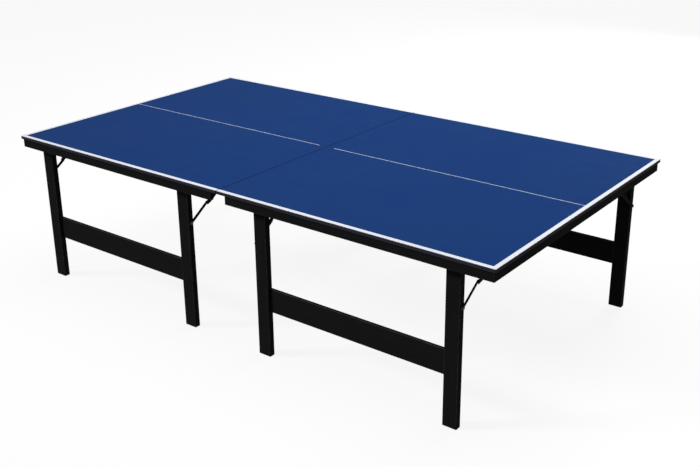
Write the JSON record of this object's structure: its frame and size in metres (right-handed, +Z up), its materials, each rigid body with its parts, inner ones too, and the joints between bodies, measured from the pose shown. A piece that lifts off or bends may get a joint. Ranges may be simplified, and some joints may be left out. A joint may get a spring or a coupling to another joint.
{
  "type": "table tennis table",
  "caption": "Full-size table tennis table in two halves, each a board on rails with two leg frames that fold inward and lock with jointed steel stays.",
  "frame": {"origin": "on the floor under the middle of the table", "axes": "+X along the table's length, +Y across it, +Z up; the left half is on -X and the near side on -Y"},
  "size_m": [2.74, 1.525, 0.76],
  "materials": {
    "playing_board": "satin",
    "rail_wood": "satin",
    "leg_wood": "satin",
    "link_steel": "satin",
    "bracket_steel": "satin",
    "fasteners": "satin"
  },
  "bodies": {
    "left_half": {"left_board": "playing_board", "left_near_rail": "rail_wood", "left_far_rail": "rail_wood", "left_end_rail": "rail_wood", "left_seam_rail": "rail_wood", "left_wood_screws": "fasteners", "left_leg_brackets": "bracket_steel", "left_leg_pivot_bolts": "fasteners", "left_stay_brackets": "bracket_steel", "left_stay_rivets": "fasteners"},
    "right_half": {"right_board": "playing_board", "right_near_rail": "rail_wood", "right_far_rail": "rail_wood", "right_end_rail": "rail_wood", "right_seam_rail": "rail_wood", "right_wood_screws": "fasteners", "right_leg_brackets": "bracket_steel", "right_leg_pivot_bolts": "fasteners", "right_stay_brackets": "bracket_steel", "right_stay_rivets": "fasteners"},
    "near_left_frame": {"near_left_stretcher": "leg_wood", "near_left_stretcher_bolts": "fasteners", "near_left_stay_bolts": "fasteners", "near_left_outer_leg": "leg_wood", "near_left_inner_leg": "leg_wood"},
    "near_left_outer_lower_link": {"near_left_outer_lower_link": "link_steel"},
    "near_left_outer_upper_link": {"near_left_outer_upper_link": "link_steel"},
    "near_left_inner_lower_link": {"near_left_inner_lower_link": "link_steel"},
    "near_left_inner_upper_link": {"near_left_inner_upper_link": "link_steel"},
    "far_left_frame": {"far_left_stretcher": "leg_wood", "far_left_stretcher_bolts": "fasteners", "far_left_stay_bolts": "fasteners", "far_left_outer_leg": "leg_wood", "far_left_inner_leg": "leg_wood"},
    "far_left_outer_lower_link": {"far_left_outer_lower_link": "link_steel"},
    "far_left_outer_upper_link": {"far_left_outer_upper_link": "link_steel"},
    "far_left_inner_lower_link": {"far_left_inner_lower_link": "link_steel"},
    "far_left_inner_upper_link": {"far_left_inner_upper_link": "link_steel"},
    "near_right_frame": {"near_right_stretcher": "leg_wood", "near_right_stretcher_bolts": "fasteners", "near_right_stay_bolts": "fasteners", "near_right_outer_leg": "leg_wood", "near_right_inner_leg": "leg_wood"},
    "near_right_outer_lower_link": {"near_right_outer_lower_link": "link_steel"},
    "near_right_outer_upper_link": {"near_right_outer_upper_link": "link_steel"},
    "near_right_inner_lower_link": {"near_right_inner_lower_link": "link_steel"},
    "near_right_inner_upper_link": {"near_right_inner_upper_link": "link_steel"},
    "far_right_frame": {"far_right_stretcher": "leg_wood", "far_right_stretcher_bolts": "fasteners", "far_right_stay_bolts": "fasteners", "far_right_outer_leg": "leg_wood", "far_right_inner_leg": "leg_wood"},
    "far_right_outer_lower_link": {"far_right_outer_lower_link": "link_steel"},
    "far_right_outer_upper_link": {"far_right_outer_upper_link": "link_steel"},
    "far_right_inner_lower_link": {"far_right_inner_lower_link": "link_steel"},
    "far_right_inner_upper_link": {"far_right_inner_upper_link": "link_steel"}
  },
  "joints": [
    {"name": "halves_apart", "type": "slide", "parent": "left_half", "child": "right_half", "axis": [1, 0, 0], "range_m": [0, 0.3]},
    {"name": "near_left_fold", "type": "hinge", "parent": "left_half", "child": "near_left_frame", "pos_m": [-0.762, -0.691, 0.722], "axis": [1, 0, 0], "range_deg": [0, 90]},
    {"name": "near_left_outer_stay_foot", "type": "hinge", "parent": "near_left_frame", "child": "near_left_outer_lower_link", "pos_m": [-1.2833, -0.691, 0.53], "axis": [1, 0, 0], "range_deg": [0, 55.57]},
    {"name": "near_left_outer_stay_head", "type": "hinge", "parent": "left_half", "child": "near_left_outer_upper_link", "pos_m": [-1.2894, -0.411, 0.722], "axis": [1, 0, 0], "range_deg": [-34.45, 0]},
    {"name": "near_left_inner_stay_foot", "type": "hinge", "parent": "near_left_frame", "child": "near_left_inner_lower_link", "pos_m": [-0.2407, -0.691, 0.53], "axis": [1, 0, 0], "range_deg": [0, 55.57]},
    {"name": "near_left_inner_stay_head", "type": "hinge", "parent": "left_half", "child": "near_left_inner_upper_link", "pos_m": [-0.2346, -0.411, 0.722], "axis": [1, 0, 0], "range_deg": [-34.45, 0]},
    {"name": "far_left_fold", "type": "hinge", "parent": "left_half", "child": "far_left_frame", "pos_m": [-0.678, 0.691, 0.722], "axis": [-1, 0, 0], "range_deg": [0, 90]},
    {"name": "far_left_outer_stay_foot", "type": "hinge", "parent": "far_left_frame", "child": "far_left_outer_lower_link", "pos_m": [-1.1993, 0.691, 0.53], "axis": [-1, 0, 0], "range_deg": [0, 55.57]},
    {"name": "far_left_outer_stay_head", "type": "hinge", "parent": "left_half", "child": "far_left_outer_upper_link", "pos_m": [-1.2054, 0.411, 0.722], "axis": [-1, 0, 0], "range_deg": [-34.45, 0]},
    {"name": "far_left_inner_stay_foot", "type": "hinge", "parent": "far_left_frame", "child": "far_left_inner_lower_link", "pos_m": [-0.1567, 0.691, 0.53], "axis": [-1, 0, 0], "range_deg": [0, 55.57]},
    {"name": "far_left_inner_stay_head", "type": "hinge", "parent": "left_half", "child": "far_left_inner_upper_link", "pos_m": [-0.1506, 0.411, 0.722], "axis": [-1, 0, 0], "range_deg": [-34.45, 0]},
    {"name": "near_right_fold", "type": "hinge", "parent": "right_half", "child": "near_right_frame", "pos_m": [0.678, -0.691, 0.722], "axis": [1, 0, 0], "range_deg": [0, 90]},
    {"name": "near_right_outer_stay_foot", "type": "hinge", "parent": "near_right_frame", "child": "near_right_outer_lower_link", "pos_m": [1.1993, -0.691, 0.53], "axis": [1, 0, 0], "range_deg": [0, 55.57]},
    {"name": "near_right_outer_stay_head", "type": "hinge", "parent": "right_half", "child": "near_right_outer_upper_link", "pos_m": [1.2054, -0.411, 0.722], "axis": [1, 0, 0], "range_deg": [-34.45, 0]},
    {"name": "near_right_inner_stay_foot", "type": "hinge", "parent": "near_right_frame", "child": "near_right_inner_lower_link", "pos_m": [0.1567, -0.691, 0.53], "axis": [1, 0, 0], "range_deg": [0, 55.57]},
    {"name": "near_right_inner_stay_head", "type": "hinge", "parent": "right_half", "child": "near_right_inner_upper_link", "pos_m": [0.1506, -0.411, 0.722], "axis": [1, 0, 0], "range_deg": [-34.45, 0]},
    {"name": "far_right_fold", "type": "hinge", "parent": "right_half", "child": "far_right_frame", "pos_m": [0.762, 0.691, 0.722], "axis": [-1, 0, 0], "range_deg": [0, 90]},
    {"name": "far_right_outer_stay_foot", "type": "hinge", "parent": "far_right_frame", "child": "far_right_outer_lower_link", "pos_m": [1.2833, 0.691, 0.53], "axis": [-1, 0, 0], "range_deg": [0, 55.57]},
    {"name": "far_right_outer_stay_head", "type": "hinge", "parent": "right_half", "child": "far_right_outer_upper_link", "pos_m": [1.2894, 0.411, 0.722], "axis": [-1, 0, 0], "range_deg": [-34.45, 0]},
    {"name": "far_right_inner_stay_foot", "type": "hinge", "parent": "far_right_frame", "child": "far_right_inner_lower_link", "pos_m": [0.2407, 0.691, 0.53], "axis": [-1, 0, 0], "range_deg": [0, 55.57]},
    {"name": "far_right_inner_stay_head", "type": "hinge", "parent": "right_half", "child": "far_right_inner_upper_link", "pos_m": [0.2346, 0.411, 0.722], "axis": [-1, 0, 0], "range_deg": [-34.45, 0]}
  ],
  "couplings": [
    {"joint": "near_left_outer_stay_foot", "follows": "near_left_fold", "ratio": 0.61735},
    {"joint": "near_left_outer_stay_head", "follows": "near_left_fold", "ratio": -0.38266},
    {"joint": "near_left_inner_stay_foot", "follows": "near_left_fold", "ratio": 0.61735},
    {"joint": "near_left_inner_stay_head", "follows": "near_left_fold", "ratio": -0.38266},
    {"joint": "far_left_outer_stay_foot", "follows": "far_left_fold", "ratio": 0.61735},
    {"joint": "far_left_outer_stay_head", "follows": "far_left_fold", "ratio": -0.38266},
    {"joint": "far_left_inner_stay_foot", "follows": "far_left_fold", "ratio": 0.61735},
    {"joint": "far_left_inner_stay_head", "follows": "far_left_fold", "ratio": -0.38266},
    {"joint": "near_right_outer_stay_foot", "follows": "near_right_fold", "ratio": 0.61735},
    {"joint": "near_right_outer_stay_head", "follows": "near_right_fold", "ratio": -0.38266},
    {"joint": "near_right_inner_stay_foot", "follows": "near_right_fold", "ratio": 0.61735},
    {"joint": "near_right_inner_stay_head", "follows": "near_right_fold", "ratio": -0.38266},
    {"joint": "far_right_outer_stay_foot", "follows": "far_right_fold", "ratio": 0.61735},
    {"joint": "far_right_outer_stay_head", "follows": "far_right_fold", "ratio": -0.38266},
    {"joint": "far_right_inner_stay_foot", "follows": "far_right_fold", "ratio": 0.61735},
    {"joint": "far_right_inner_stay_head", "follows": "far_right_fold", "ratio": -0.38266}
  ]
}
